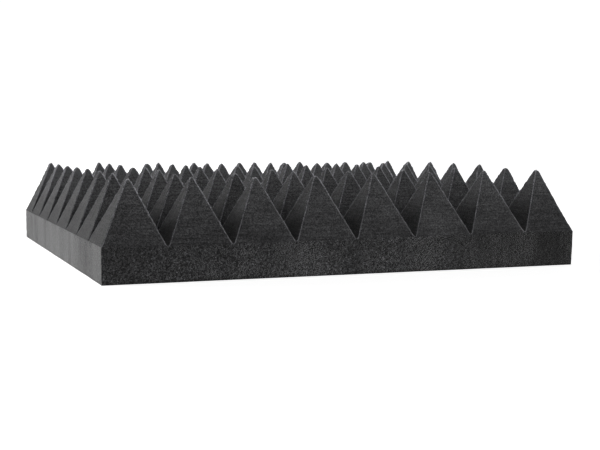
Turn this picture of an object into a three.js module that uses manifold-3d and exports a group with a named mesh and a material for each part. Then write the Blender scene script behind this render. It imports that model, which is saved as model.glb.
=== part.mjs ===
// Acoustic foam panel: a square tile of open-cell foam that absorbs sound on a wall or a ceiling.
// It lies on its flat back here, with a field of eight by eight pyramids on a solid base.
// The pyramids are what is left of a block of foam when one toothed profile is cut through it from front
// to back and another from left to right, so each has four straight slopes, a blunt tip and sharp ridges.
// The real panel is one piece of foam. It is split here along its grooves into a base slab and a row of
// pyramids for each line of tips, which meet face to face.
// Millimetres, +Z up, origin at the middle of the back face, front edge towards -Y.
import * as THREE from "three";
import { mergeVertices } from "three/addons/utils/BufferGeometryUtils.js";
import Module from "manifold-3d";

// The whole panel
const PANEL_SIDE = 500;
const PANEL_HEIGHT = 97.5; // back face to tips
const BASE_THICKNESS = 35; // back face to the bottoms of the grooves, and to the crease round the sides

// The teeth
const TIPS_PER_SIDE = 8;
const TIP_RADIUS = 2;
const GROOVE_RADIUS = 1.5;

// Outermost lines of tips, measured in from the panel's edges. The sides are sawn through the outer
// slopes, nearer to the tips at the right and at the back, so those slopes are the steeper ones.
const LEFT_SET_IN = 30.5;
const RIGHT_SET_IN = 23.5;
const FRONT_SET_IN = 33.5;
const BACK_SET_IN = 20.5;

// What each row of pyramids keeps of the base under its grooves, which holds the row together
const ROW_FOOT = 2;

// Each rounded tip and groove has twice this many facets
const ARC_DIVISIONS = 3;

// How far a cutting body runs past the foam that it cuts
const OVERRUN = 20;

// Charcoal foam, dull all over
const FOAM_COLOUR = 0x3a3a3c;
const FOAM_ROUGHNESS = 1;
const FOAM_METALNESS = 0;

const wasm = await Module();
wasm.setup();

const halfSide = PANEL_SIDE / 2;
const slabHeight = BASE_THICKNESS - ROW_FOOT;

// Distance between neighbouring lines of tips, with the outermost two this far in from the edges.
function pitchBetween(nearSetIn, farSetIn) {
  return (PANEL_SIDE - nearSetIn - farSetIn) / (TIPS_PER_SIDE - 1);
}

// How far a slope leans from upright when it is tangent to the tip's arc and to the arc at its foot.
// The run is the level distance from the tip line to the middle of that arc.
function slopeLean(run, footRadius) {
  const bothRadii = TIP_RADIUS + footRadius;
  const rise = PANEL_HEIGHT - BASE_THICKNESS - bothRadii;
  return Math.acos(bothRadii / Math.hypot(run, rise)) - Math.atan2(rise, run);
}

// The rounded top of a tooth, drawn from the slope before it to the slope after it.
function addTip(profile, place, leanBefore, leanAfter) {
  const middle = PANEL_HEIGHT - TIP_RADIUS;
  profile.absarc(place, middle, TIP_RADIUS, Math.PI - leanBefore, leanAfter, true);
}

// The rounded bottom between two teeth, where the slopes lean alike.
function addGroove(profile, place, lean) {
  const middle = BASE_THICKNESS + GROOVE_RADIUS;
  profile.absarc(place, middle, GROOVE_RADIUS, lean - Math.PI, -lean, false);
}

// One tooth beside another, from edge to edge, with the foam under them down to the base slab.
function toothedProfile(nearSetIn, farSetIn) {
  const pitch = pitchBetween(nearSetIn, farSetIn);
  const innerLean = slopeLean(pitch / 2, GROOVE_RADIUS);
  const profile = new THREE.Shape();
  profile.moveTo(halfSide, slabHeight);
  profile.lineTo(-halfSide, slabHeight);
  profile.lineTo(-halfSide, BASE_THICKNESS);
  for (let i = 0; i < TIPS_PER_SIDE; i++) {
    const isFirst = i === 0;
    const isLast = i === TIPS_PER_SIDE - 1;
    const tip = nearSetIn + i * pitch - halfSide;
    const leanBefore = isFirst ? slopeLean(nearSetIn, 0) : innerLean;
    const leanAfter = isLast ? slopeLean(farSetIn, 0) : innerLean;
    addTip(profile, tip, leanBefore, leanAfter);
    if (!isLast) addGroove(profile, tip + pitch / 2, innerLean);
  }
  profile.lineTo(halfSide, BASE_THICKNESS);
  profile.closePath();
  return profile;
}

// The profile carried through the whole panel from front to back.
function toothedBlock(nearSetIn, farSetIn) {
  const block = new THREE.ExtrudeGeometry(toothedProfile(nearSetIn, farSetIn), {
    depth: PANEL_SIDE,
    bevelEnabled: false,
    curveSegments: ARC_DIVISIONS,
  });
  block.translate(0, 0, -halfSide);
  block.rotateX(Math.PI / 2);
  return block;
}

// A closed three.js geometry as a solid that can be joined and cut.
function solidFrom(geometry) {
  const bare = geometry.clone();
  bare.deleteAttribute("normal");
  bare.deleteAttribute("uv");
  const merged = mergeVertices(bare);
  const vertProperties = merged.attributes.position.array;
  const triVerts = new Uint32Array(merged.index.array);
  return new wasm.Manifold(new wasm.Mesh({ numProp: 3, vertProperties, triVerts }));
}

// A solid as a three.js geometry again, with flat facets.
function geometryFrom(solid) {
  const mesh = solid.getMesh();
  const indexed = new THREE.BufferGeometry();
  indexed.setAttribute("position", new THREE.BufferAttribute(mesh.vertProperties, mesh.numProp));
  indexed.setIndex(new THREE.BufferAttribute(mesh.triVerts, 1));
  const faceted = indexed.toNonIndexed();
  faceted.computeVertexNormals();
  return faceted;
}

// All the pyramids: the foam that both cuts leave.
function pyramidField() {
  const teethAcrossWidth = toothedBlock(LEFT_SET_IN, RIGHT_SET_IN);
  const teethAcrossDepth = toothedBlock(FRONT_SET_IN, BACK_SET_IN);
  teethAcrossDepth.rotateZ(Math.PI / 2);
  return solidFrom(teethAcrossWidth).intersect(solidFrom(teethAcrossDepth));
}

// The space of one row, from the middle of the groove in front of it to the middle of the one behind it.
function rowSpace(row) {
  const pitch = pitchBetween(FRONT_SET_IN, BACK_SET_IN);
  const tips = FRONT_SET_IN + row * pitch - halfSide;
  const front = row === 0 ? -halfSide - OVERRUN : tips - pitch / 2;
  const back = row === TIPS_PER_SIDE - 1 ? halfSide + OVERRUN : tips + pitch / 2;
  const width = PANEL_SIDE + 2 * OVERRUN;
  const space = new THREE.BoxGeometry(width, back - front, PANEL_HEIGHT + 2 * OVERRUN);
  space.translate(0, (front + back) / 2, PANEL_HEIGHT / 2);
  return solidFrom(space);
}

function foamMaterial() {
  return new THREE.MeshStandardMaterial({
    color: FOAM_COLOUR,
    roughness: FOAM_ROUGHNESS,
    metalness: FOAM_METALNESS,
  });
}

// The solid foam behind the pyramids, with the flat back that goes against the wall.
function baseSlab() {
  const slab = new THREE.Mesh(new THREE.BoxGeometry(PANEL_SIDE, PANEL_SIDE, slabHeight), foamMaterial());
  slab.name = "base_slab";
  slab.position.z = slabHeight / 2;
  return slab;
}

// One mesh for each row of pyramids, counted from the front edge.
function pyramidRows() {
  const field = pyramidField();
  const rows = new THREE.Group();
  for (let row = 0; row < TIPS_PER_SIDE; row++) {
    const pyramids = new THREE.Mesh(geometryFrom(field.intersect(rowSpace(row))), foamMaterial());
    pyramids.name = `pyramid_row_${row + 1}`;
    rows.add(pyramids);
  }
  return rows;
}

const panel = new THREE.Group();
panel.add(baseSlab(), pyramidRows());

export default panel;
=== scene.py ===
"""Acoustic foam panel: one square tile of charcoal open-cell foam, cut into eight by eight pyramids.

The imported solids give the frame, in metres: +Z from the flat back to the tips, the front edge towards -Y.
One block of foam is built over them here. Its relief, its sawn sides and its back come from one
Geometry Nodes tree, and a second tree sets the torn cells that make the cut edges look fuzzy.
"""

import logging
import math
from dataclasses import dataclass, fields
from enum import Enum

import bpy
from mathutils import Matrix, Vector


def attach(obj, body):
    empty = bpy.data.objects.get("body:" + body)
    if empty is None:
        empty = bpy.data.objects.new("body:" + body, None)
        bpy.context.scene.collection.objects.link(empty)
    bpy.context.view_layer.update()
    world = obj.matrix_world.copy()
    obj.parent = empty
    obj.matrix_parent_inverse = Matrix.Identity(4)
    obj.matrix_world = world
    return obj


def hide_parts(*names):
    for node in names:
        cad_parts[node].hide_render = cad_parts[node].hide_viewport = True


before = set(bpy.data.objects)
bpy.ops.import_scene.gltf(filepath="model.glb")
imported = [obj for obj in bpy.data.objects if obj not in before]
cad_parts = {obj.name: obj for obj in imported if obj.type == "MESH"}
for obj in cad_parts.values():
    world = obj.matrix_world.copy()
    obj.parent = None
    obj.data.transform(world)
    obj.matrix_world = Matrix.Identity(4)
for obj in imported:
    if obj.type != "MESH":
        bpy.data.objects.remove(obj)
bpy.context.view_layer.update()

MM = 0.001
# Blender's noise stays near 0.5 and seldom leaves 0.25 to 0.75: less the middle and times the span, it
# runs from about -1 to 1.
NOISE_MIDDLE = (0.5, 0.5, 0.5)
NOISE_SPAN = 4.0
# Keeps rounding from counting a line of the mesh to the slope before its own.
ROUNDING = 0.0001
# A place across the panel, from -1 to 1, to this power is near 0 but for the outermost centimetres.
EDGE_POWER = 12.0
# From this share of the way down a side, it is the flat back.
AT_BACK = 0.999

Triple = tuple[float, float, float]
Pair = tuple[float, float]
# Two values to fade between, and the result at each of the two.
Fade = tuple[float, float, float, float]
Tree = bpy.types.NodeTree
Node = bpy.types.Node
Socket = bpy.types.NodeSocket
Material = bpy.types.Material
Piece = bpy.types.Object

# Sizes of the panel that each slope of the cut takes, and each line of the mesh.
SHARED_BY_SLOPES = ("Height", "Base", "Tip Radius")
SHARED_BY_LINES = (*SHARED_BY_SLOPES, "Groove Radius", "Side", "Tips", "Lines Per Slope")

log = logging.getLogger("foam_panel")


def linear(colour: str) -> tuple[float, float, float, float]:
    """Turns an sRGB hex colour into the linear one that Blender's sockets take.

    Args:
        colour: Six hex digits after a hash sign.

    Returns:
        Red, green, blue and an alpha of 1.
    """
    parts = [int(colour[i : i + 2], 16) / 255 for i in (1, 3, 5)]
    red, green, blue = (p / 12.92 if p <= 0.04045 else ((p + 0.055) / 1.055) ** 2.4 for p in parts)
    return red, green, blue, 1.0


def ends(fade: tuple) -> dict[int, object]:
    """Numbers the four values of a fade, or what feeds them, as the inputs of a Map Range node."""
    return dict(enumerate(fade, 1))


def add(tree: Tree, kind: str, feeds: dict | None = None, **settings) -> Node:
    """Adds one node to a tree, sets it and feeds its inputs.

    Args:
        tree: The tree that gets the node.
        kind: The node's type name.
        feeds: What goes into each input: a value, a socket, or a node, whose first output in use is then
            meant. Inputs go by name, or by number where several kinds of a node's inputs share a name, as
            on Mix (2 and 3 for numbers, 6 and 7 for colours), Random Value, Compare and Math.
        settings: The node's own properties.

    Returns:
        The new node.
    """
    node = tree.nodes.new(kind)
    for name, value in settings.items():
        setattr(node, name, value)
    for key, value in (feeds or {}).items():
        if isinstance(value, Node):
            value = next(socket for socket in value.outputs if socket.enabled)
        if isinstance(value, Socket):
            tree.links.new(value, node.inputs[key])
        else:
            node.inputs[key].default_value = value
    return node


def work_out(tree: Tree, known: dict, sums: tuple[tuple, ...]) -> dict:
    """Lays out a column of sums as nodes, each under a name that later ones can use.

    Args:
        tree: The tree that gets the nodes.
        known: Sockets and numbers by name.
        sums: Rows of result, operation and what it works on, which are names or numbers.

    Returns:
        The sockets and numbers by name, the results among them.
    """
    known = dict(known)
    for name, operation, *terms in sums:
        feeds = {i: known.get(term, term) for i, term in enumerate(terms)}
        known[name] = add(tree, "ShaderNodeMath", feeds, operation=operation).outputs[0]
    return known


def vector(tree: Tree, start: object, *steps: tuple) -> object:
    """Lays out steps on a vector as nodes, each working on the result of the one before.

    Args:
        tree: The tree that gets the nodes.
        start: The vector to start from: a node, a socket or three numbers.
        steps: Rows of operation and what it takes as its second input, a number for a scaling.

    Returns:
        The last step's node.
    """
    for operation, term in steps:
        second = "Scale" if operation == "SCALE" else 1
        start = add(tree, "ShaderNodeVectorMath", {0: start, second: term}, operation=operation)
    return start


def new_tree(name: str, takes: dict[str, object], gives: tuple[str, ...] = ()) -> tuple[Tree, dict]:
    """Starts a Geometry Nodes tree, or a group of sums where it gives numbers.

    Args:
        name: The tree's name.
        takes: Its inputs by name, whose values give their kinds.
        gives: The numbers that it gives. With none, it takes and gives geometry.

    Returns:
        The tree, and the sockets of its inputs by name.
    """
    tree = bpy.data.node_groups.new(name, "GeometryNodeTree")
    kinds = {int: "NodeSocketInt", float: "NodeSocketFloat", tuple: "NodeSocketVector",
             Material: "NodeSocketMaterial", Piece: "NodeSocketObject"}
    ways = [("INPUT", label, kinds[type(value)]) for label, value in takes.items()]
    ways += [("OUTPUT", label, "NodeSocketFloat") for label in gives]
    if not gives:
        shape = ("Geometry", "NodeSocketGeometry")
        ways = [("INPUT", *shape), *ways, ("OUTPUT", *shape)]
    for way, label, kind in ways:
        tree.interface.new_socket(label, in_out=way, socket_type=kind)
    return tree, {socket.name: socket for socket in add(tree, "NodeGroupInput").outputs if socket.name}


def labelled(sizes: object) -> dict[str, object]:
    """Names the numbers and triples of a class as inputs, so that tip_radius is Tip Radius."""
    named = {field.name.replace("_", " ").title(): getattr(sizes, field.name) for field in fields(sizes)}
    return {name: value for name, value in named.items() if not isinstance(value, tuple) or len(value) == 3}


@dataclass(frozen=True)
class Pattern:
    """A soft random pattern in the foam, stretched along the way in which it was cut.

    per_metre says how many times it turns in a metre along X, Y and Z, and place picks a spot in the
    endless noise whose light and dark come near to those of the panel in the photograph.
    """

    per_metre: Triple
    place: Triple = (0.0, 0.0, 0.0)
    detail: float = 2.0
    roughness: float = 0.5

    def lay(self, tree: Tree, position: Socket) -> Node:
        """Adds the pattern to a material.

        Args:
            tree: The material's tree.
            position: The object coordinates.

        Returns:
            The noise node, whose first output is the pattern.
        """
        moved = add(tree, "ShaderNodeMapping", {"Vector": position, "Location": self.place,
                                                "Scale": self.per_metre})
        return add(tree, "ShaderNodeTexNoise", {"Vector": moved, "Scale": 1.0, "Detail": self.detail,
                                                "Roughness": self.roughness})


class Cut(Enum):
    """How a face of the foam was cut, which decides how coarse it looks."""

    PROFILE = "profile"
    SAW = "saw"
    TORN = "torn"


@dataclass(frozen=True)
class SawMarksAndShade:
    """What the band saw leaves on the sides and the back.

    Light and dark bands of 0.1 m stand upright, as the saw ran. Waves of 36 mm and long rolls of 0.1 m
    catch the light along the face. The sides are painted darker towards the upright corners and the upper
    edge: painted shade.
    Corners are told by x times y, which is at most the square of half the side: above zero at the front
    left and back right, below zero at the other two.
    """

    bands: Pattern = Pattern((10.0, 10.0, 2.0), (35.2, 1.4, 79.3), detail=5.0, roughness=0.65)
    band_fade: Fade = (0.38, 0.62, 0.8, 1.2)
    waves: Pattern = Pattern((28.0, 28.0, 5.0), detail=4.0, roughness=0.6)
    wave_depth: float = 2 * MM
    rolls: Pattern = Pattern((10.0, 10.0, 5.0), (64.8, 22.3, 22.1), roughness=0.45)
    roll_depth: float = 20 * MM
    # Painted shade: the sides darker towards the upright corners and towards their upper edge.
    near_corner_shade: Fade = (0.035, 0.0625, 1.0, 0.8)
    far_corner_shade: Fade = (-0.017, -0.048, 1.0, 0.36)
    upper_edge_shade: Fade = (2 * MM, 34 * MM, 1.02, 0.68)

    def shade(self, tree: Tree, position: Socket, colour: Socket) -> Socket:
        """Lightens and darkens the colour by the saw's bands, and paints shade towards the corners and upper
        edge.

        Args:
            tree: The material's tree.
            position: The object coordinates.
            colour: The foam's colour.

        Returns:
            The shaded colour.
        """
        at = add(tree, "ShaderNodeSeparateXYZ", {0: position}).outputs
        corners = add(tree, "ShaderNodeMath", {0: at["X"], 1: at["Y"]}, operation="MULTIPLY")
        shades = {}
        # The band is the saw's; near, far and upper are painted shade.
        for name, value, fade, way in (
            ("band", self.bands.lay(tree, position), self.band_fade, "LINEAR"),
            ("near", corners, self.near_corner_shade, "LINEAR"),
            ("far", corners, self.far_corner_shade, "SMOOTHSTEP"),
            ("upper", at["Z"], self.upper_edge_shade, "LINEAR"),
        ):
            shades[name] = add(tree, "ShaderNodeMapRange", {"Value": value, **ends(fade)},
                               interpolation_type=way).outputs[0]
        shade = work_out(tree, shades, (
            ("both_corners", "MULTIPLY", "near", "far"),
            ("corner", "MULTIPLY", "both_corners", "upper"),
            ("shade", "MULTIPLY", "band", "corner"),
        ))["shade"]
        return vector(tree, colour, ("SCALE", shade)).outputs[0]

    def bump(self, tree: Tree, position: Socket, cells: Node) -> Node:
        """Bends the face by the saw's waves and rolls.

        Args:
            tree: The material's tree.
            position: The object coordinates.
            cells: The bump of the foam's cells.

        Returns:
            The bump with the waves and the rolls in it.
        """
        for pattern, depth in ((self.waves, self.wave_depth), (self.rolls, self.roll_depth)):
            cells = add(tree, "ShaderNodeBump", {"Height": pattern.lay(tree, position), "Distance": depth,
                                                 "Normal": cells})
        return cells


@dataclass(frozen=True)
class OpenCellFoam:
    """Finish of open-cell polyurethane foam: dull charcoal struts round small dark pores.

    A blade lays the cells open, so a face seen straight on is dark and speckled. Seen along the face, the
    pores hide behind the strut ends and the foam turns a smooth lighter grey, which the sheen gives. Real
    cells are about 1 mm wide and are drawn so, with pores as deep as the pit. The tone runs from 0, a
    pore, to 1, a strut: speckle, streak, smudge and walls say how far cells, cut marks, stains and cell
    walls move it from its level, and the contrast is its last power. The lift is painted light: it lightens
    the foam towards the tips. Glints are the share of strut ends painted lighter towards the highlight
    colour, as painted highlights, and that colour also paints the light along the ridges.
    """

    cut: Cut
    strut: str
    pore: str
    pit: float
    speckle: float
    sheen: float
    # Colour of the painted highlights: the glints and the painted light along the ridges.
    worn: str = "#68686b"
    cell: float = 1.0 * MM
    bends_per_cell: float = 0.6
    bend: float = 0.9
    wall_fade: Fade = (0.10, 0.65, 0.0, 1.0)
    level: float = 0.25
    streak: float = 0.0
    smudge: float = 0.5
    walls: float = 0.45
    lift: float = 0.0
    glints: float = 0.08
    glint_strength: float = 0.5
    bump_strength: float = 0.7
    contrast: float = 2.0
    painted_glow: float = 0.0
    lit_side_highlight: float = 0.0
    # Stains of 60 mm, and marks of the blade, 33 mm long and 1.7 mm high, along the slopes.
    smudges: Pattern = Pattern((16.0, 16.0, 16.0), (83.6, 40.4, 3.0), detail=4.0)
    streaks: Pattern = Pattern((30.0, 30.0, 1 / (1.7 * MM)), detail=1.0)
    # Ridges are painted lighter from 0.2 to 1.6 mm off, in patches of 8 mm: a painted highlight where loose
    # strut ends catch the light.
    patches_per_metre: float = 120.0
    patch_fade: Fade = (0.3, 0.65, 0.35, 1.0)
    ridge_fade: Pair = (0.2 * MM, 1.6 * MM)
    ridge_ripple: float = 0.9 * MM
    # The lift runs up the slopes as painted light, and the foot is darker as painted shade. The upper parts
    # are painted lighter by the glow, most at the back: painted light.
    slope_reach: Pair = (35 * MM, 97 * MM)
    painted_foot_shade: Fade = (1 * MM, 4 * MM, 0.5, 0.0)
    thin: Fade = (45 * MM, 97 * MM, 0.0, 1.0)
    far: Fade = (-200 * MM, 150 * MM, 0.0, 1.0)
    # Where the first tip stands and how far apart they are, to tell the right-hand side of each tip. Torn
    # rims there are painted lighter, by the lit side highlight and by their lift: a painted highlight.
    first_tip: float = -219.5 * MM
    tip_pitch: float = 446 / 7 * MM

    @property
    def name(self) -> str:
        """The material's name."""
        return f"open_cell_polyurethane_foam_{self.cut.value}_cut"

    def cells(self, tree: Tree, position: Socket) -> tuple:
        """Adds the foam's cells, with their edges bent so that no two are alike.

        Args:
            tree: The material's tree.
            position: The object coordinates.

        Returns:
            How near each spot is to its cell's wall, and the chance numbers that each cell has.
        """
        wander = add(tree, "ShaderNodeTexNoise", {"Vector": position, "Detail": 1.0,
                                                  "Scale": self.bends_per_cell / self.cell})
        bend = vector(tree, wander.outputs["Color"], ("SUBTRACT", NOISE_MIDDLE),
                      ("SCALE", self.bend * self.cell))
        moved = vector(tree, position, ("ADD", bend))
        cells = add(tree, "ShaderNodeTexVoronoi", {"Vector": moved, "Scale": 1 / self.cell})
        wall = add(tree, "ShaderNodeMapRange", {"Value": cells.outputs["Distance"], **ends(self.wall_fade)})
        chance = add(tree, "ShaderNodeSeparateColor", {0: cells.outputs["Color"]})
        return wall.outputs[0], chance.outputs

    def tones(self, tree: Tree, position: Socket, wall: Socket, deep: Socket) -> dict:
        """Works out each spot's tone from its cell, the cut's marks and painted light and shade by its
        place.

        Args:
            tree: The material's tree.
            position: The object coordinates.
            wall: How near the spot is to its cell's wall.
            deep: How deep its cell was cut open.

        Returns:
            The sockets by name: the pores for the bump, and the tone.
        """
        at = add(tree, "ShaderNodeSeparateXYZ", {0: position}).outputs
        known = {"wall": wall, "deep": deep, "lit_side": 1.0, "x": at["X"],
                 "smudge": self.smudges.lay(tree, position).outputs[0],
                 "streak": self.streaks.lay(tree, position).outputs[0]}
        # Painted light up the slopes and at the upper parts towards the back, and painted shade at the foot.
        for name, axis, fade in (("rise", "Z", (*self.slope_reach, -self.lift, self.lift)),
                                 ("foot", "Z", self.painted_foot_shade), ("thin", "Z", self.thin),
                                 ("far", "Y", self.far)):
            known[name] = add(tree, "ShaderNodeMapRange", {"Value": at[axis], **ends(fade)}).outputs[0]
        # Painted highlight: torn rims on the right-hand side of each tip are lighter, as if lit from the
        # back right.
        if self.cut is Cut.TORN:
            known = work_out(tree, known, (
                ("from_first", "SUBTRACT", "x", self.first_tip),
                ("pitches", "DIVIDE", "from_first", self.tip_pitch),
                ("share", "FRACT", "pitches"),
                ("lit_side", "LESS_THAN", "share", 0.5),
            ))
        return work_out(tree, known, (
            ("thin_and_far", "MULTIPLY", "thin", "far"),
            ("walls", "MULTIPLY_ADD", "wall", self.walls, -self.walls / 2),
            ("pores", "MULTIPLY_ADD", "deep", self.speckle, "walls"),
            ("smudged", "MULTIPLY_ADD", "smudge", self.smudge, "pores"),
            ("streaked", "MULTIPLY_ADD", "streak", self.streak, "smudged"),
            ("lifted", "MULTIPLY_ADD", "rise", "lit_side", "streaked"),
            ("toned", "ADD", "lifted", self.level - (self.speckle + self.streak) / 2),
            ("sided", "MULTIPLY_ADD", "lit_side", self.lit_side_highlight, "toned"),
            ("lightened_by_glow", "MULTIPLY_ADD", "thin_and_far", self.painted_glow, "sided"),
            ("shaded", "SUBTRACT", "lightened_by_glow", "foot"),
            ("above_black", "MAXIMUM", "shaded", 0.0),
            ("under_white", "MINIMUM", "above_black", 1.0),
            ("tone", "POWER", "under_white", self.contrast),
        ))

    def painted_ridge_highlights(self, tree: Tree, position: Socket, deep: Socket, colour: Socket) -> Socket:
        """Lightens the foam along its ridges, where loose strut ends catch the light.

        Args:
            tree: The material's tree.
            position: The object coordinates.
            deep: How deep each cell was cut open, which frays the painted highlight line.
            colour: The foam's colour.

        Returns:
            The colour with the painted ridge highlights in it.
        """
        ridge = add(tree, "ShaderNodeAttribute", attribute_name="ridge_distance")
        frayed = work_out(tree, {"ridge": ridge.outputs["Fac"], "deep": deep}, (
            ("from_ridge", "MULTIPLY_ADD", "deep", self.ridge_ripple, "ridge"),
        ))["from_ridge"]
        patches = add(tree, "ShaderNodeTexNoise", {"Vector": position, "Scale": self.patches_per_metre,
                                                   "Detail": 2.0})
        most = add(tree, "ShaderNodeMapRange", {"Value": patches, **ends(self.patch_fade)})
        ridge_highlight_mask = add(tree, "ShaderNodeMapRange", {"Value": frayed, **ends((*self.ridge_fade, most, 0.0))},
                   interpolation_type="SMOOTHSTEP")
        worn = add(tree, "ShaderNodeMix", {0: ridge_highlight_mask, 6: colour, 7: linear(self.worn)}, data_type="RGBA")
        return worn.outputs[2]

    def material(self) -> Material:
        """Builds the node material.

        Returns:
            The finished material.
        """
        made = bpy.data.materials.new(self.name)
        made.use_nodes = True
        tree = made.node_tree
        tree.nodes.clear()
        position = add(tree, "ShaderNodeTexCoord").outputs["Object"]
        wall, chance = self.cells(tree, position)
        tones = self.tones(tree, position, wall, chance[0])
        body = add(tree, "ShaderNodeMix", {0: tones["tone"], 6: linear(self.pore), 7: linear(self.strut)},
                   data_type="RGBA", clamp_factor=True)
        # Glints are painted highlights: a share of the cells is painted lighter towards the highlight
        # colour.
        glint = add(tree, "ShaderNodeMapRange", {"Value": chance[1],
                                                 **ends((1 - self.glints, 1.0, 0.0, self.glint_strength))})
        shiny = add(tree, "ShaderNodeMix", {0: glint, 6: body.outputs[2], 7: linear(self.worn)},
                    data_type="RGBA")
        colour = shiny.outputs[2]
        bump = add(tree, "ShaderNodeBump", {"Height": tones["pores"], "Distance": self.pit,
                                            "Strength": self.bump_strength})
        # Painted highlights along the ridges of the pyramids.
        if self.cut is Cut.PROFILE:
            colour = self.painted_ridge_highlights(tree, position, chance[0], colour)
        # The saw's bands and bumps, and painted shade towards the corners and the upper edge.
        if self.cut is Cut.SAW:
            colour = SawMarksAndShade().shade(tree, position, colour)
            bump = SawMarksAndShade().bump(tree, position, bump)
        shader = add(tree, "ShaderNodeBsdfPrincipled", {
            "Base Color": colour, "Roughness": 0.95, "IOR": 1.5, "Specular IOR Level": 0.15,
            "Sheen Weight": self.sheen, "Sheen Roughness": 0.4, "Normal": bump,
        })
        add(tree, "ShaderNodeOutputMaterial", {"Surface": shader})
        return made


@dataclass
class FoamPanel:
    """The panel's one block of foam: the relief of pyramids, the sawn sides and the flat back."""

    side: float = 500 * MM
    height: float = 98.5 * MM
    base: float = 35 * MM
    tips: int = 8
    tip_radius: float = 1.2 * MM
    groove_radius: float = 1.5 * MM
    left_set_in: float = 30.5 * MM
    right_set_in: float = 23.5 * MM
    front_set_in: float = 33.5 * MM
    back_set_in: float = 20.5 * MM
    lines_per_slope: int = 17
    side_rows: int = 16
    # The cut is uneven, as in the photograph. Tips rise by the first triple's numbers, times 1, x and y,
    # and by the second's, times x squared, x times y and y squared, where x and y run from -1 to 1 over
    # the panel. They move to the right by the third's and the fourth's in the same way.
    tip_rise: Triple = (0.6 * MM, 0.5 * MM, -1.1 * MM)
    tip_arch: Triple = (0.8 * MM, -1.3 * MM, -3.2 * MM)
    tip_shift: Triple = (-1.2 * MM, 0.0, -0.3 * MM)
    tip_sweep: Triple = (1.2 * MM, 1.4 * MM, 0.2 * MM)
    # Grooves and the upper edge of the sides rise to the right, and grooves move to the left there.
    foot_tilt: float = 1.5 * MM
    foot_shift: float = -3.4 * MM
    # Each tip also strays by chance, and its cap is lower by up to the blunting.
    tip_wander: Triple = (0.8 * MM, 0.8 * MM, 0.2 * MM)
    blunting: float = 2.4 * MM
    cap: float = 6.5 * MM
    # The right side leans in towards the flat back. All sides have waves of 70 mm, which are full from a
    # quarter of the way down, and a grain of 4 mm.
    side_slant: float = 1.5 * MM
    waviness: float = 0.4 * MM
    waves_per_metre: Triple = (14.0, 14.0, 3.0)
    waves_full_at: float = 0.25
    roughness: float = 0.25 * MM
    grain_per_metre: float = 260.0
    seed: int = 470497
    # Sawn edges sharper than the crease stay sharp, and the back is welded to the sides.
    crease: float = math.radians(40)
    weld: float = 0.01 * MM
    no_ridge_near: float = 100 * MM

    def slope_group(self) -> Tree:
        """Makes the node group that says how far a slope stands from its tip line at a given height.

        The slope is straight, and tangent to the rounded tip above it and to the rounded groove below.

        Returns:
            The group, with sizes as inputs and the level distance as output.
        """
        group, given = new_tree("slope_at_height", dict.fromkeys(
            ("At Height", "Run", "Foot Radius", *SHARED_BY_SLOPES), 0.0), ("Distance",))
        done = work_out(group, given, (
            ("radii", "ADD", "Tip Radius", "Foot Radius"),
            ("depth", "SUBTRACT", "Height", "Base"),
            ("rise", "SUBTRACT", "depth", "radii"),
            ("run_squared", "MULTIPLY", "Run", "Run"),
            ("rise_squared", "MULTIPLY", "rise", "rise"),
            ("squares", "ADD", "run_squared", "rise_squared"),
            ("reach", "SQRT", "squares"),
            ("share", "DIVIDE", "radii", "reach"),
            ("outer_angle", "ARCCOSINE", "share"),
            ("inner_angle", "ARCTAN2", "rise", "Run"),
            ("lean", "SUBTRACT", "outer_angle", "inner_angle"),
            ("sine", "SINE", "lean"),
            ("cosine", "COSINE", "lean"),
            ("tangent", "TANGENT", "lean"),
            ("flat_share", "SUBTRACT", 1.0, "sine"),
            ("tip_depth", "MULTIPLY", "Tip Radius", "flat_share"),
            ("foot_depth", "MULTIPLY", "Foot Radius", "flat_share"),
            ("tip_end", "SUBTRACT", "Height", "tip_depth"),
            ("foot_start", "ADD", "Base", "foot_depth"),
            ("below_tip", "SUBTRACT", "tip_end", "At Height"),
            ("tip_reach", "MULTIPLY", "Tip Radius", "cosine"),
            ("on_slope", "MULTIPLY_ADD", "below_tip", "tangent", "tip_reach"),
            ("tip_middle", "SUBTRACT", "Height", "Tip Radius"),
            ("above_middle", "SUBTRACT", "At Height", "tip_middle"),
            ("above_squared", "MULTIPLY", "above_middle", "above_middle"),
            ("tip_squared", "MULTIPLY", "Tip Radius", "Tip Radius"),
            ("tip_rest", "SUBTRACT", "tip_squared", "above_squared"),
            ("tip_left", "MAXIMUM", "tip_rest", 0.0),
            ("on_tip", "SQRT", "tip_left"),
            ("foot_middle", "ADD", "Base", "Foot Radius"),
            ("under_middle", "SUBTRACT", "foot_middle", "At Height"),
            ("under_squared", "MULTIPLY", "under_middle", "under_middle"),
            ("foot_squared", "MULTIPLY", "Foot Radius", "Foot Radius"),
            ("foot_rest", "SUBTRACT", "foot_squared", "under_squared"),
            ("foot_left", "MAXIMUM", "foot_rest", 0.0),
            ("foot_reach", "SQRT", "foot_left"),
            ("on_foot", "SUBTRACT", "Run", "foot_reach"),
            ("is_tip", "GREATER_THAN", "At Height", "tip_end"),
            ("is_foot", "LESS_THAN", "At Height", "foot_start"),
        ))
        lower = add(group, "ShaderNodeMix", {0: done["is_foot"], 2: done["on_slope"], 3: done["on_foot"]})
        whole = add(group, "ShaderNodeMix", {0: done["is_tip"], 2: lower.outputs[0], 3: done["on_tip"]})
        add(group, "NodeGroupOutput", {"Distance": whole.outputs[0]})
        return group

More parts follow.
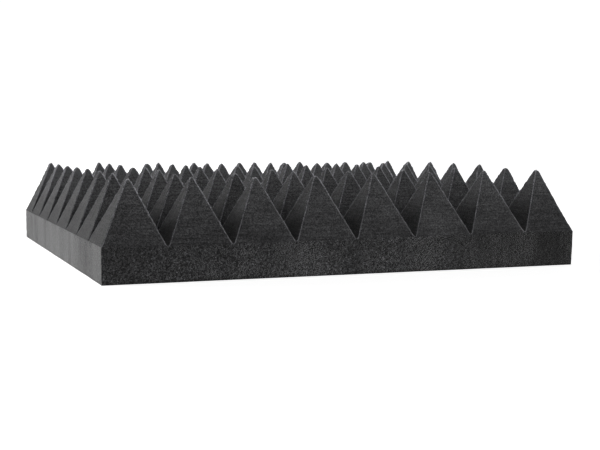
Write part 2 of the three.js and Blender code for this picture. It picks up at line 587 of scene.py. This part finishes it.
    def line_group(self, slope: Tree) -> Tree:
        """Makes the node group that places one line of the mesh along one direction of the cut.

        Lines lie at the same heights on every slope, in both directions, so that two of them cross
        exactly on each ridge. They lie closer together at the tips and grooves, where the foam is rounded.

        Args:
            slope: The group from slope_group.

        Returns:
            The group, which gives the line's place, its height on the profile and the slope it is on.
        """
        group, given = new_tree("line_of_the_cut", dict.fromkeys(
            ("Line", "Near Set In", "Far Set In", *SHARED_BY_LINES), 0.0),
            ("Place", "Level", "Tip", "Run", "Foot Radius", "Distance"))
        done = work_out(group, given, (
            ("slopes_in", "DIVIDE", "Line", "Lines Per Slope"),
            ("nudged", "ADD", "slopes_in", ROUNDING),
            ("whole_slopes", "FLOOR", "nudged"),
            ("last_slope", "MULTIPLY_ADD", "Tips", 2.0, -1.0),
            ("slope", "MINIMUM", "whole_slopes", "last_slope"),
            ("along", "SUBTRACT", "slopes_in", "slope"),
            ("half_slope", "MULTIPLY", "slope", 0.5),
            ("tip", "FLOOR", "half_slope"),
            ("falls", "MULTIPLY_ADD", "tip", -2.0, "slope"),
            ("way", "MULTIPLY_ADD", "falls", 2.0, -1.0),
            ("from_foot", "SUBTRACT", 1.0, "along"),
            ("down", "MULTIPLY", "falls", "along"),
            ("rises", "SUBTRACT", 1.0, "falls"),
            ("up", "MULTIPLY", "rises", "from_foot"),
            ("below", "ADD", "down", "up"),
            ("both", "ADD", "Near Set In", "Far Set In"),
            ("between", "SUBTRACT", "Side", "both"),
            ("gaps", "SUBTRACT", "Tips", 1.0),
            ("pitch", "DIVIDE", "between", "gaps"),
            ("half_pitch", "MULTIPLY", "pitch", 0.5),
            ("is_first", "LESS_THAN", "slope", 0.5),
            ("nearly_last", "SUBTRACT", "last_slope", 0.5),
            ("is_last", "GREATER_THAN", "slope", "nearly_last"),
            ("is_outer", "MAXIMUM", "is_first", "is_last"),
            ("is_inner", "SUBTRACT", 1.0, "is_outer"),
            ("foot", "MULTIPLY", "Groove Radius", "is_inner"),
            ("inner_run", "MULTIPLY", "half_pitch", "is_inner"),
            ("first_run", "MULTIPLY_ADD", "Near Set In", "is_first", "inner_run"),
            ("run", "MULTIPLY_ADD", "Far Set In", "is_last", "first_run"),
            ("edge", "MULTIPLY_ADD", "Side", -0.5, "Near Set In"),
            ("tip_line", "MULTIPLY_ADD", "tip", "pitch", "edge"),
        ))
        level = add(group, "ShaderNodeMapRange", {0: done["below"], 3: given["Height"], 4: given["Base"]},
                    interpolation_type="SMOOTHSTEP")
        distance = add(group, "GeometryNodeGroup", {
            "At Height": level.outputs[0], "Run": done["run"], "Foot Radius": done["foot"],
            **{name: given[name] for name in SHARED_BY_SLOPES},
        }, node_tree=slope)
        place = add(group, "ShaderNodeMath", {0: distance, 1: done["way"], 2: done["tip_line"]},
                    operation="MULTIPLY_ADD")
        add(group, "NodeGroupOutput", {"Place": place, "Level": level.outputs[0], "Distance": distance,
                                       "Tip": done["tip"], "Run": done["run"], "Foot Radius": done["foot"]})
        return group

    def relief(self, tree: Tree, given: dict[str, Socket]) -> Node:
        """Lays the field of pyramids: an even grid first, then the unevenness of the real cut.

        Args:
            tree: The panel's tree.
            given: The tree's inputs.

        Returns:
            The node that gives the relief as a sheet, open along its four edges, with the distance to the
            nearest ridge and the lift of the grooves stored on it.
        """
        slope = self.slope_group()
        line = self.line_group(slope)
        counts = work_out(tree, given, (
            ("slopes", "MULTIPLY", "Tips", 2.0),
            ("spaces", "MULTIPLY", "slopes", "Lines Per Slope"),
            ("lines", "ADD", "spaces", 1.0),
            ("middle", "MULTIPLY", "spaces", 0.5),
        ))
        grid = add(tree, "GeometryNodeMeshGrid", {
            "Size X": counts["spaces"], "Size Y": counts["spaces"],
            "Vertices X": counts["lines"], "Vertices Y": counts["lines"],
        })
        at = add(tree, "ShaderNodeSeparateXYZ", {0: add(tree, "GeometryNodeInputPosition")}).outputs
        lines = {}
        for axis, near, far in (("X", "Left Set In", "Right Set In"), ("Y", "Front Set In", "Back Set In")):
            number = work_out(tree, {**counts, "at": at[axis]}, (
                ("from_edge", "ADD", "at", "middle"),
                ("number", "ROUND", "from_edge"),
            ))["number"]
            lines[axis] = add(tree, "GeometryNodeGroup", {
                "Line": number, "Near Set In": given[near], "Far Set In": given[far],
                **{name: given[name] for name in SHARED_BY_LINES},
            }, node_tree=line).outputs
        lowest = work_out(tree, {"on_x": lines["X"]["Level"], "on_y": lines["Y"]["Level"]}, (
            ("lowest", "MINIMUM", "on_x", "on_y"),
        ))["lowest"]
        known = {**given, "z": lowest, "row": lines["Y"]["Tip"], "column": lines["X"]["Tip"],
                 "x": lines["X"]["Place"], "y": lines["Y"]["Place"]}
        for axis, own in lines.items():
            full = add(tree, "GeometryNodeGroup", {
                "At Height": lowest, "Run": own["Run"], "Foot Radius": own["Foot Radius"],
                **{name: given[name] for name in SHARED_BY_SLOPES},
            }, node_tree=slope)
            known[f"full_{axis}"] = full.outputs[0]
            known[f"own_{axis}"] = own["Distance"]
        known = work_out(tree, known, (
            ("ridge_X", "SUBTRACT", "full_X", "own_X"),
            ("ridge_Y", "SUBTRACT", "full_Y", "own_Y"),
            ("ridge", "ADD", "ridge_X", "ridge_Y"),
            ("depth", "SUBTRACT", "Height", "Base"),
            ("above", "SUBTRACT", "z", "Base"),
            ("weight", "DIVIDE", "above", "depth"),
            ("pyramid", "MULTIPLY_ADD", "row", "Tips", "column"),
            ("half", "MULTIPLY", "Side", 0.5),
            ("across", "DIVIDE", "x", "half"),
            ("along", "DIVIDE", "y", "half"),
            ("across_squared", "MULTIPLY", "across", "across"),
            ("along_squared", "MULTIPLY", "along", "along"),
            ("twist", "MULTIPLY", "across", "along"),
            ("at_sides", "POWER", "across_squared", EDGE_POWER / 2),
            ("inside", "SUBTRACT", 1.0, "at_sides"),
            ("share", "MULTIPLY_ADD", "across", 0.5, 0.5),
            ("share_squared", "MULTIPLY", "share", "share"),
            ("tilted", "MULTIPLY", "across", "inside"),
            ("shifted", "MULTIPLY", "share_squared", "inside"),
        ))
        even_terms = add(tree, "ShaderNodeCombineXYZ", {"X": 1.0, "Y": known["across"], "Z": known["along"]})
        square_terms = add(tree, "ShaderNodeCombineXYZ", {"X": known["across_squared"], "Y": known["twist"],
                                                          "Z": known["along_squared"]})
        for name, even_part, square_part in (("rise", "Tip Rise", "Tip Arch"),
                                             ("sweep", "Tip Shift", "Tip Sweep")):
            products = [vector(tree, given[part], ("DOT_PRODUCT", terms)).outputs["Value"]
                        for part, terms in ((even_part, even_terms), (square_part, square_terms))]
            known[name] = add(tree, "ShaderNodeMath", dict(enumerate(products))).outputs[0]
        blunt = add(tree, "FunctionNodeRandomValue", {2: 0.0, 3: 1.0, "ID": known["pyramid"],
                                                      "Seed": given["Seed"]}, data_type="FLOAT")
        known = work_out(tree, {**known, "blunt": blunt.outputs[1]}, (
            ("from_top", "SUBTRACT", "Height", "z"),
            ("cap_share", "DIVIDE", "from_top", "Cap"),
            ("in_cap", "SUBTRACT", 1.0, "cap_share"),
            ("cap_only", "MAXIMUM", "in_cap", 0.0),
            ("cap_weight", "MULTIPLY", "cap_only", "cap_only"),
            ("rarely_much", "MULTIPLY", "blunt", "blunt"),
            ("own_blunting", "MULTIPLY", "rarely_much", "Blunting"),
            ("flattening", "MULTIPLY", "own_blunting", "cap_weight"),
            ("foot_up", "MULTIPLY", "tilted", "Foot Tilt"),
            ("foot_right", "MULTIPLY", "shifted", "Foot Shift"),
            ("tip_more", "SUBTRACT", "rise", "foot_up"),
            ("up_there", "MULTIPLY_ADD", "tip_more", "weight", "foot_up"),
            ("up", "SUBTRACT", "up_there", "flattening"),
            ("sweep_more", "SUBTRACT", "sweep", "foot_right"),
            ("right", "MULTIPLY_ADD", "sweep_more", "weight", "foot_right"),
        ))
        chance = add(tree, "FunctionNodeRandomValue", {0: (-1.0, -1.0, -1.0), 1: (1.0, 1.0, 1.0),
                                                       "ID": known["pyramid"], "Seed": given["Seed"]},
                     data_type="FLOAT_VECTOR")
        uneven = add(tree, "ShaderNodeCombineXYZ", {"X": known["right"], "Z": known["up"]})
        offset = vector(tree, chance, ("MULTIPLY", given["Tip Wander"]), ("SCALE", known["weight"]),
                        ("ADD", uneven))
        even = add(tree, "ShaderNodeCombineXYZ", {"X": known["x"], "Y": known["y"], "Z": lowest})
        marked = grid.outputs["Mesh"]
        for name, value in (("ridge_distance", known["ridge"]), ("foot_up", known["foot_up"])):
            marked = add(tree, "GeometryNodeStoreNamedAttribute", {"Geometry": marked, "Name": name,
                                                                   "Value": value},
                         data_type="FLOAT", domain="POINT")
        return add(tree, "GeometryNodeSetPosition", {"Geometry": marked, "Position": even, "Offset": offset})

    def sawn_block(self, tree: Tree, given: dict[str, Socket], relief: Node) -> Node:
        """Draws the relief's edges down to the back in rows, makes the sides wavy and closes the back.

        Args:
            tree: The panel's tree.
            given: The tree's inputs.
            relief: The relief as an open sheet.

        Returns:
            The node that gives the closed block, with the sawn faces marked.
        """
        start = add(tree, "GeometryNodeRepeatInput")
        end = add(tree, "GeometryNodeRepeatOutput")
        start.pair_with_output(end)
        tree.links.new(given["Side Rows"], start.inputs["Iterations"])
        tree.links.new(relief.outputs[0], start.inputs["Geometry"])
        faces_at_edge = add(tree, "GeometryNodeInputMeshEdgeNeighbors")
        open_edge = add(tree, "FunctionNodeCompare", {2: faces_at_edge, 3: 1}, data_type="INT",
                        operation="EQUAL")
        step = work_out(tree, given, (
            ("row", "DIVIDE", "Base", "Side Rows"),
            ("down", "MULTIPLY", "row", -1.0),
        ))
        downwards = add(tree, "ShaderNodeCombineXYZ", {"Z": step["down"]})
        wall = add(tree, "GeometryNodeExtrudeMesh", {
            "Mesh": start.outputs["Geometry"], "Selection": open_edge, "Offset": downwards,
            "Offset Scale": 1.0,
        }, mode="EDGES").outputs
        sawn = add(tree, "GeometryNodeStoreNamedAttribute", {
            "Geometry": wall["Mesh"], "Name": "sawn", "Selection": wall["Side"], "Value": True,
        }, data_type="BOOLEAN", domain="FACE")
        tree.links.new(sawn.outputs[0], end.inputs["Geometry"])
        foot_up = add(tree, "GeometryNodeInputNamedAttribute", {"Name": "foot_up"}, data_type="FLOAT")
        position = add(tree, "GeometryNodeInputPosition")
        now = add(tree, "ShaderNodeSeparateXYZ", {0: position}).outputs
        place = work_out(tree, {**given, "x": now["X"], "z": now["Z"], "foot_up": foot_up.outputs[0]}, (
            ("rim", "ADD", "Base", "foot_up"),
            ("under_rim", "SUBTRACT", "rim", "z"),
            ("wall_share", "DIVIDE", "under_rim", "Base"),
            ("down", "MAXIMUM", "wall_share", 0.0),
            ("level", "MULTIPLY", "down", "foot_up"),
            ("up", "MULTIPLY", "level", -1.0),
            ("right_edge", "MULTIPLY", "Side", 0.5),
            ("across", "DIVIDE", "x", "right_edge"),
            ("rightwards", "MAXIMUM", "across", 0.0),
            ("near_right", "POWER", "rightwards", EDGE_POWER),
            ("slanting", "MULTIPLY", "down", "Side Slant"),
            ("right_slant", "MULTIPLY", "slanting", "near_right"),
            ("right", "MULTIPLY", "right_slant", -1.0),
            ("wave_start", "DIVIDE", "down", "Waves Full At"),
            ("wave_share", "MINIMUM", "wave_start", 1.0),
            ("wave", "MULTIPLY", "wave_share", "Waviness"),
            ("wave_span", "MULTIPLY", "wave", NOISE_SPAN),
            ("is_back", "GREATER_THAN", "down", AT_BACK),
            ("is_free", "SUBTRACT", 1.0, "is_back"),
        ))
        stretched = vector(tree, position, ("MULTIPLY", given["Waves Per Metre"]))
        waves = add(tree, "ShaderNodeTexNoise", {"Vector": stretched, "Scale": 1.0, "Detail": 2.0})
        waves = vector(tree, waves.outputs["Color"], ("SUBTRACT", NOISE_MIDDLE),
                       ("MULTIPLY", (1.0, 1.0, 0.0)), ("SCALE", place["wave_span"]))
        grain = add(tree, "ShaderNodeTexNoise", {"Scale": given["Grain Per Metre"], "Detail": 2.0})
        rough = vector(tree, grain.outputs["Color"], ("SUBTRACT", NOISE_MIDDLE),
                       ("SCALE", given["Roughness"]), ("SCALE", place["is_free"]), ("SCALE", NOISE_SPAN))
        level = add(tree, "ShaderNodeCombineXYZ", {"X": place["right"], "Z": place["up"]})
        offset = vector(tree, level, ("ADD", waves), ("ADD", rough))
        walls = add(tree, "GeometryNodeSetPosition", {"Geometry": end.outputs["Geometry"], "Offset": offset})
        rim = add(tree, "GeometryNodeMeshToCurve", {"Mesh": walls, "Selection": open_edge})
        back = add(tree, "GeometryNodeFillCurve", {"Curve": rim})
        for name, value, kind, domain in (("sawn", True, "BOOLEAN", "FACE"),
                                          ("ridge_distance", given["No Ridge Near"], "FLOAT", "POINT")):
            back = add(tree, "GeometryNodeStoreNamedAttribute", {"Geometry": back, "Name": name,
                                                                 "Value": value},
                       data_type=kind, domain=domain)
        turned = add(tree, "GeometryNodeFlipFaces", {"Mesh": back})
        whole = add(tree, "GeometryNodeJoinGeometry")
        tree.links.new(turned.outputs[0], whole.inputs[0])
        tree.links.new(walls.outputs[0], whole.inputs[0])
        return add(tree, "GeometryNodeMergeByDistance", {"Geometry": whole, "Distance": given["Weld"]})

    def tree(self, inputs: dict[str, object]) -> Tree:
        """Makes the tree that builds the whole block of foam.

        Args:
            inputs: The tree's inputs by name.

        Returns:
            The tree, with the panel's sizes as named inputs.
        """
        tree, given = new_tree("pyramid_foam", inputs)
        block = self.sawn_block(tree, given, self.relief(tree, given))
        split = add(tree, "GeometryNodeTriangulate", {"Mesh": block}, quad_method="LONGEST_DIAGONAL")
        smooth = add(tree, "GeometryNodeSetShadeSmooth", {"Geometry": split})
        is_sawn = add(tree, "GeometryNodeInputNamedAttribute", {"Name": "sawn"}, data_type="BOOLEAN")
        bend = add(tree, "GeometryNodeInputMeshEdgeAngle")
        is_corner = add(tree, "FunctionNodeCompare", {0: bend.outputs["Unsigned Angle"], 1: given["Crease"]},
                        data_type="FLOAT", operation="GREATER_THAN")
        is_sharp = add(tree, "FunctionNodeBooleanMath", {0: is_corner, 1: is_sawn}, operation="AND")
        creased = add(tree, "GeometryNodeSetShadeSmooth", {"Geometry": smooth, "Selection": is_sharp,
                                                           "Shade Smooth": False}, domain="EDGE")
        real = add(tree, "GeometryNodeRealizeInstances", {"Geometry": creased})
        cut = add(tree, "GeometryNodeSetMaterial", {"Geometry": real, "Material": given["Profile Cut Foam"]})
        dressed = add(tree, "GeometryNodeSetMaterial", {"Geometry": cut, "Selection": is_sawn,
                                                        "Material": given["Saw Cut Foam"]})
        add(tree, "NodeGroupOutput", {"Geometry": dressed})
        return tree

    def build(self, profile_cut: Material, saw_cut: Material) -> Piece:
        """Runs the tree and gives the foam as a plain mesh piece.

        Args:
            profile_cut: The finish of the pyramids.
            saw_cut: The finish of the sides and the back.

        Returns:
            The piece, riding on the panel's body and standing for all its solids.
        """
        inputs = {**labelled(self), "Profile Cut Foam": profile_cut, "Saw Cut Foam": saw_cut}
        made = grown("foam_panel", self.tree(inputs), inputs)
        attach(made, "root")
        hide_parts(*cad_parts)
        return made


@dataclass
class TornStruts:
    """The soft torn rim along the ridges and tips, where the knife tore the cells open.

    It has two parts: small cones, which are loose strut ends, and a lip that runs along each ridge. The
    lip is drawn a little thicker than the real one, and more so towards the tips and the back, because
    the real one would be too fine to show there.
    """

    # Cones stand this near to a ridge and only above this height, which keeps them out of the grooves.
    reach: float = 1.3 * MM
    above: float = 40 * MM
    per_square_metre: float = 200000.0
    length: float = 1.1 * MM
    width: float = 0.35 * MM
    cone_turn: Triple = (1.1, 1.1, 3.1)
    cone_sizes: Pair = (0.4, 1.0)
    # The lip's points are this far apart, stray by the wander and differ in thickness.
    lip_step: float = 2.0 * MM
    lip_radius: float = 0.5 * MM
    lip_wander: float = 0.8 * MM
    lip_ripples_per_metre: float = 300.0
    lip_sizes: Pair = (0.25, 1.3)
    lip_edges: int = 5
    swell_top: float = 90 * MM
    swell: Pair = (0.4, 1.25)
    widen: Fade = (-200 * MM, 200 * MM, 1.0, 1.3)
    on_ridge: float = 0.02 * MM
    seed: int = 5

    def cones(self, tree: Tree, given: dict[str, Socket], foam: Socket, ridge: Node, height: Socket) -> Node:
        """Scatters the loose strut ends along the ridges.

        Args:
            tree: The struts' tree.
            given: The tree's inputs.
            foam: The foam's mesh.
            ridge: The distance to the nearest ridge.
            height: The height above the back.

        Returns:
            The node that gives the cones as instances.
        """
        density = work_out(tree, {**given, "ridge": ridge.outputs[0], "z": height}, (
            ("share", "DIVIDE", "ridge", "Reach"),
            ("left", "SUBTRACT", 1.0, "share"),
            ("near", "MAXIMUM", "left", 0.0),
            ("is_high", "GREATER_THAN", "z", "Above"),
            ("chance", "MULTIPLY", "near", "is_high"),
            ("density", "MULTIPLY", "chance", "Per Square Metre"),
        ))["density"]
        spots = add(tree, "GeometryNodeDistributePointsOnFaces", {"Mesh": foam, "Density": density,
                                                                  "Seed": given["Seed"]})
        cone = add(tree, "GeometryNodeMeshCone", {"Vertices": 3, "Side Segments": 1, "Fill Segments": 1,
                                                  "Radius Top": 0.0, "Radius Bottom": given["Width"],
                                                  "Depth": given["Length"]}, fill_type="NGON")
        outwards = add(tree, "FunctionNodeAlignRotationToVector", {"Vector": spots.outputs["Normal"]},
                       axis="Z")
        other_way = vector(tree, given["Cone Turn"], ("SCALE", -1.0))
        chance = add(tree, "FunctionNodeRandomValue", {0: other_way, 1: given["Cone Turn"], "Seed": 2},
                     data_type="FLOAT_VECTOR")
        tilt = add(tree, "FunctionNodeEulerToRotation", {0: chance})
        turn = add(tree, "FunctionNodeRotateRotation", {"Rotation": outwards, "Rotate By": tilt},
                   rotation_space="LOCAL")
        least, most = self.cone_sizes
        size = add(tree, "FunctionNodeRandomValue", {2: least, 3: most, "Seed": 3}, data_type="FLOAT")
        return add(tree, "GeometryNodeInstanceOnPoints", {
            "Points": spots.outputs["Points"], "Instance": cone, "Rotation": turn, "Scale": size.outputs[1],
        })

    def lips(self, tree: Tree, given: dict[str, Socket], foam: Socket, ridge: Node, place: object) -> Node:
        """Runs a soft lip of uneven thickness along every ridge.

        Args:
            tree: The struts' tree.
            given: The tree's inputs.
            foam: The foam's mesh.
            ridge: The distance to the nearest ridge.
            place: The sockets of the position by axis.

        Returns:
            The node that gives the lips as a mesh.
        """
        on_ridge = add(tree, "FunctionNodeCompare", {0: ridge, 1: given["On Ridge"]}, data_type="FLOAT",
                       operation="LESS_THAN")
        is_sawn = add(tree, "GeometryNodeInputNamedAttribute", {"Name": "sawn"}, data_type="BOOLEAN")
        is_crest = add(tree, "FunctionNodeBooleanMath", {0: on_ridge, 1: is_sawn}, operation="NIMPLY")
        crest = add(tree, "GeometryNodeMeshToCurve", {"Mesh": foam, "Selection": is_crest})
        crest = add(tree, "GeometryNodeResampleCurve", {"Curve": crest, "Length": given["Lip Step"]},
                    mode="LENGTH")
        noise = add(tree, "ShaderNodeTexNoise", {"Scale": given["Lip Ripples Per Metre"], "Detail": 1.0})
        wander = vector(tree, noise.outputs["Color"], ("SUBTRACT", NOISE_MIDDLE),
                        ("SCALE", given["Lip Wander"]))
        crest = add(tree, "GeometryNodeSetPosition", {"Geometry": crest, "Offset": wander})
        least, most = self.lip_sizes
        thick = add(tree, "FunctionNodeRandomValue", {2: least, 3: most, "Seed": 4}, data_type="FLOAT")
        swell = add(tree, "ShaderNodeMapRange", {"Value": place["Z"],
                                                 **ends((given["Above"], given["Swell Top"], *self.swell))})
        widen = add(tree, "ShaderNodeMapRange", {"Value": place["Y"], **ends(self.widen)})
        own_radius = work_out(tree, {**given, "thick": thick.outputs[1], "swell": swell.outputs[0],
                                     "widen": widen.outputs[0]}, (
            ("even", "MULTIPLY", "thick", "Lip Radius"),
            ("swelling", "MULTIPLY", "even", "swell"),
            ("own_radius", "MULTIPLY", "swelling", "widen"),
        ))["own_radius"]
        ring = add(tree, "GeometryNodeCurvePrimitiveCircle", {"Resolution": given["Lip Edges"],
                                                              "Radius": 1.0})
        return add(tree, "GeometryNodeCurveToMesh", {"Curve": crest, "Profile Curve": ring,
                                                     "Scale": own_radius, "Fill Caps": True})

    def tree(self, inputs: dict[str, object]) -> Tree:
        """Makes the tree that sets the torn rim over the foam.

        Args:
            inputs: The tree's inputs by name.

        Returns:
            The tree, which takes the foam's mesh and gives only the rim.
        """
        tree, given = new_tree("torn_struts", inputs)
        foam = add(tree, "GeometryNodeObjectInfo", {"Object": given["Foam"]}).outputs["Geometry"]
        ridge = add(tree, "GeometryNodeInputNamedAttribute", {"Name": "ridge_distance"}, data_type="FLOAT")
        place = add(tree, "ShaderNodeSeparateXYZ", {0: add(tree, "GeometryNodeInputPosition")}).outputs
        cones = self.cones(tree, given, foam, ridge, place["Z"])
        lips = self.lips(tree, given, foam, ridge, place)
        rim = add(tree, "GeometryNodeJoinGeometry")
        tree.links.new(cones.outputs[0], rim.inputs[0])
        tree.links.new(lips.outputs[0], rim.inputs[0])
        real = add(tree, "GeometryNodeRealizeInstances", {"Geometry": rim})
        dressed = add(tree, "GeometryNodeSetMaterial", {"Geometry": real, "Material": given["Strut Foam"]})
        add(tree, "NodeGroupOutput", {"Geometry": dressed})
        return tree

    def build(self, foam: Piece, finish: Material) -> Piece:
        """Runs the tree over the finished foam.

        Args:
            foam: The foam piece, whose mesh carries the distance to its ridges.
            finish: The finish of the torn rim.

        Returns:
            The torn rim as one piece that rides with the foam.
        """
        inputs = {**labelled(self), "Foam": foam, "Strut Foam": finish}
        made = grown("torn_struts", self.tree(inputs), inputs)
        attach(made, "root")
        return made


def grown(name: str, tree: Tree, inputs: dict[str, object]) -> Piece:
    """Runs a Geometry Nodes tree with its inputs set and keeps the result as a plain mesh.

    Args:
        name: The piece's name.
        tree: The tree to run.
        inputs: The tree's inputs by name.

    Returns:
        The new object, at the origin, with no modifier on it.
    """
    seedling = bpy.data.objects.new(f"{name}_tree", bpy.data.meshes.new(f"{name}_tree"))
    bpy.context.scene.collection.objects.link(seedling)
    modifier = seedling.modifiers.new("grow", "NODES")
    modifier.node_group = tree
    for item in tree.interface.items_tree:
        if item.in_out == "INPUT" and item.name in inputs:
            modifier[item.identifier] = inputs[item.name]
    graph = bpy.context.evaluated_depsgraph_get()
    mesh = bpy.data.meshes.new_from_object(seedling.evaluated_get(graph), depsgraph=graph)
    mesh.name = name
    if mesh.materials[0] is None:
        mesh.materials.pop(index=0)
    bpy.data.objects.remove(seedling)
    made = bpy.data.objects.new(name, mesh)
    bpy.context.scene.collection.objects.link(made)
    return made


@dataclass(frozen=True)
class Softbox:
    """One rectangular soft light: where it stands, its width and height, its watts and what it faces."""

    name: str
    at: Triple
    size: Pair
    power: float
    towards: Triple = (0.0, 0.0, 0.05)

    def stand(self) -> Piece:
        """Sets the light up.

        Returns:
            The light, which the camera doesn't see.
        """
        lamp = bpy.data.lights.new(self.name, "AREA")
        lamp.shape = "RECTANGLE"
        lamp.size, lamp.size_y = self.size
        lamp.energy = self.power
        made = bpy.data.objects.new(self.name, lamp)
        made.location = self.at
        made.rotation_euler = (Vector(self.towards) - Vector(self.at)).to_track_quat("-Z", "Y").to_euler()
        made.visible_camera = False
        bpy.context.scene.collection.objects.link(made)
        return made


@dataclass
class Studio:
    """The white table and surroundings, the soft light and the camera."""

    # The table glows a little, so that no shadow darkens it, and lies just clear of the foam's back.
    floor_half: float = 9.0
    floor_drop: float = 0.3 * MM
    white: str = "#f4f4f4"
    glow: float = 0.85
    # The surroundings are bright from the horizon to a little above it and dim overhead.
    sky_fade: Fade = (0.12, 0.5, 1.05, 0.1)
    left_box: Softbox = Softbox("low_left_softbox", (-1.7, 1.5, 0.7), (2.2, 0.9), 73.0, (0.0, 0.0, 0.03))
    # These two light only the foam: one lights its rims from behind, the other its front a little.
    back_box: Softbox = Softbox("high_back_softbox", (2.0, 2.0, 2.8), (1.2, 1.0), 850.0)
    front_box: Softbox = Softbox("high_front_softbox", (0.9, -2.0, 2.0), (1.4, 1.2), 70.0)
    # Metres, degrees and millimetres, fitted to the photograph.
    eye: Triple = (-0.4600, -1.3241, 0.1475)
    yaw: float = -20.55
    pitch: float = -4.842
    roll: float = 0.15
    focal: float = 71.68
    sensor: float = 36.0

    def floor(self) -> Piece:
        """Makes the white table top that the panel lies on.

        Returns:
            The floor.
        """
        mesh = bpy.data.meshes.new("white_table")
        half, drop = self.floor_half, -self.floor_drop
        corners = [(-half, -half, drop), (half, -half, drop), (half, half, drop), (-half, half, drop)]
        mesh.from_pydata(corners, [], [(0, 1, 2, 3)])
        made = bpy.data.objects.new("white_table", mesh)
        bpy.context.scene.collection.objects.link(made)
        # Opal acrylic, lit from below: dull, even and nearly white.
        material = bpy.data.materials.new("opal_acrylic_table")
        material.use_nodes = True
        tree = material.node_tree
        tree.nodes.clear()
        shader = add(tree, "ShaderNodeBsdfPrincipled", {
            "Base Color": linear(self.white), "Roughness": 0.9, "Specular IOR Level": 0.1,
            "Emission Color": (1.0, 1.0, 1.0, 1.0), "Emission Strength": self.glow,
        })
        add(tree, "ShaderNodeOutputMaterial", {"Surface": shader})
        mesh.materials.append(material)
        return made

    def light(self) -> None:
        """Sets the even white surroundings and the softbox that lights everything."""
        world = bpy.data.worlds.new("white_studio")
        world.use_nodes = True
        bpy.context.scene.world = world
        tree = world.node_tree
        tree.nodes.clear()
        direction = add(tree, "ShaderNodeTexCoord").outputs["Generated"]
        upwards = add(tree, "ShaderNodeSeparateXYZ", {0: direction}).outputs["Z"]
        strength = add(tree, "ShaderNodeMapRange", {0: upwards, **ends(self.sky_fade)})
        air = add(tree, "ShaderNodeBackground", {"Color": (1.0, 1.0, 1.0, 1.0), "Strength": strength})
        add(tree, "ShaderNodeOutputWorld", {"Surface": air})
        self.left_box.stand()
        view = bpy.context.scene.view_settings
        view.view_transform = "Standard"
        view.look = "None"
        view.exposure = 0.0
        view.gamma = 1.0

    def light_foam(self, pieces: tuple[Piece, ...]) -> None:
        """Sets the two softboxes that light only the foam.

        Args:
            pieces: What they light.
        """
        lit = bpy.data.collections.new("lit_foam")
        for piece in pieces:
            lit.objects.link(piece)
        for box in (self.back_box, self.front_box):
            box.stand().light_linking.receiver_collection = lit

    def camera(self) -> Piece:
        """Sets the camera where the photograph was taken from.

        Returns:
            The camera.
        """
        lens = bpy.data.cameras.new("camera")
        lens.sensor_fit = "HORIZONTAL"
        lens.sensor_width = self.sensor
        lens.lens = self.focal
        lens.clip_start, lens.clip_end = 0.05, 50.0
        made = bpy.data.objects.new("camera", lens)
        place = Matrix.Translation(self.eye)
        for degrees, axis in ((self.yaw, "Z"), (90 + self.pitch, "X"), (self.roll, "Z")):
            place = place @ Matrix.Rotation(math.radians(degrees), 4, axis)
        made.matrix_world = place
        bpy.context.scene.collection.objects.link(made)
        bpy.context.scene.camera = made
        return made


def report(piece: Piece) -> None:
    """Logs a piece's name and counts."""
    piece.data.calc_loop_triangles()
    log.info("%s: %d vertices, %d triangles", piece.name, len(piece.data.vertices),
             len(piece.data.loop_triangles))


def main() -> None:
    """Builds the panel and the studio, and reports each piece."""
    logging.basicConfig(level=logging.INFO, format="%(name)s: %(message)s")
    studio = Studio()
    studio.camera()
    studio.floor()
    studio.light()
    # The profiling knife leaves fine level streaks and shallow cells, and hardly any shine. The lift and
    # the glow are painted light, towards the tips and the back.
    profile_cut = OpenCellFoam(
        Cut.PROFILE, strut="#3e3e3f", pore="#0b0b0c", pit=0.4 * MM, speckle=0.5, streak=0.62, lift=0.1,
        glints=0.0, sheen=0.06, painted_glow=0.46,
    ).material()
    # The saw tears the cells deeper: a coarse speckle seen straight on, a pale even grey seen along it.
    # Its glints are painted highlights, and its sides get painted shade towards the corners and upper edge.
    saw_cut = OpenCellFoam(
        Cut.SAW, strut="#363637", pore="#080809", pit=0.7 * MM, speckle=1.5, level=0.1, sheen=0.37,
    ).material()
    # Torn rims are loose strut ends that stand free and catch the light, most of all at the tips. Their
    # finish is painted lighter than the foam's, a painted highlight, lighter still on the right of each tip.
    torn_rim_painted_light = OpenCellFoam(
        Cut.TORN, strut="#69696d", pore="#161617", pit=0.2 * MM, speckle=0.8, level=0.31, lift=0.2,
        lit_side_highlight=0.07, sheen=0.07, painted_glow=0.45,
    ).material()
    foam = FoamPanel().build(profile_cut, saw_cut)
    report(foam)
    struts = TornStruts().build(foam, torn_rim_painted_light)
    report(struts)
    studio.light_foam((foam, struts))


if __name__ == "__main__":
    main()
